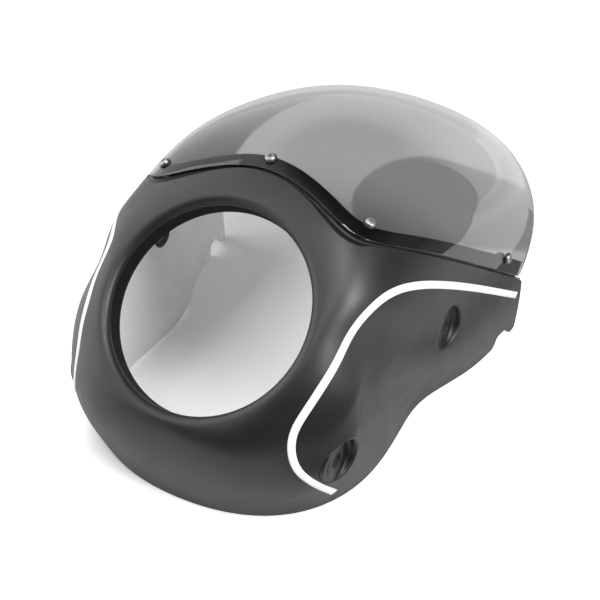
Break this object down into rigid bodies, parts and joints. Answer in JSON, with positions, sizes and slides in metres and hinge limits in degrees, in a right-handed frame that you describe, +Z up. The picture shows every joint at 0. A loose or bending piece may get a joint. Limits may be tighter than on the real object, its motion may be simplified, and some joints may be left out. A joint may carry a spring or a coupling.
{
  "type": "headlight cowl",
  "caption": "Moulded motorcycle headlight cowl with a round lamp opening, swept-back cheeks with bolt pockets, and a smoked windscreen screwed to a sunk flange.",
  "frame": {"origin": "on the floor under the middle of the object's box, as it stands on its lower edge", "axes": "+Z up, -Y to the front where the lamp opening looks up and forwards, +X to the right in the front view"},
  "size_m": [0.356, 0.475, 0.256],
  "materials": {
    "shell_black": "matt black moulded plastic, pale grey inside",
    "smoked_screen": "smoked clear sheet, glossy",
    "screw_steel": "plain steel button heads",
    "washer_black": "black nylon",
    "nut_steel": "plain steel",
    "stripe_white": "white film",
    "grommet_rubber": "black rubber"
  },
  "bodies": {
    "root": {"cowl_shell": "shell_black", "windscreen": "smoked_screen", "screen_screws": "screw_steel", "screen_washers": "washer_black", "screen_nuts": "nut_steel", "side_stripe_right": "stripe_white", "side_stripe_left": "stripe_white", "mount_grommet_upper_right": "grommet_rubber", "mount_grommet_upper_left": "grommet_rubber", "mount_grommet_lower_right": "grommet_rubber", "mount_grommet_lower_left": "grommet_rubber"}
  },
  "joints": []
}
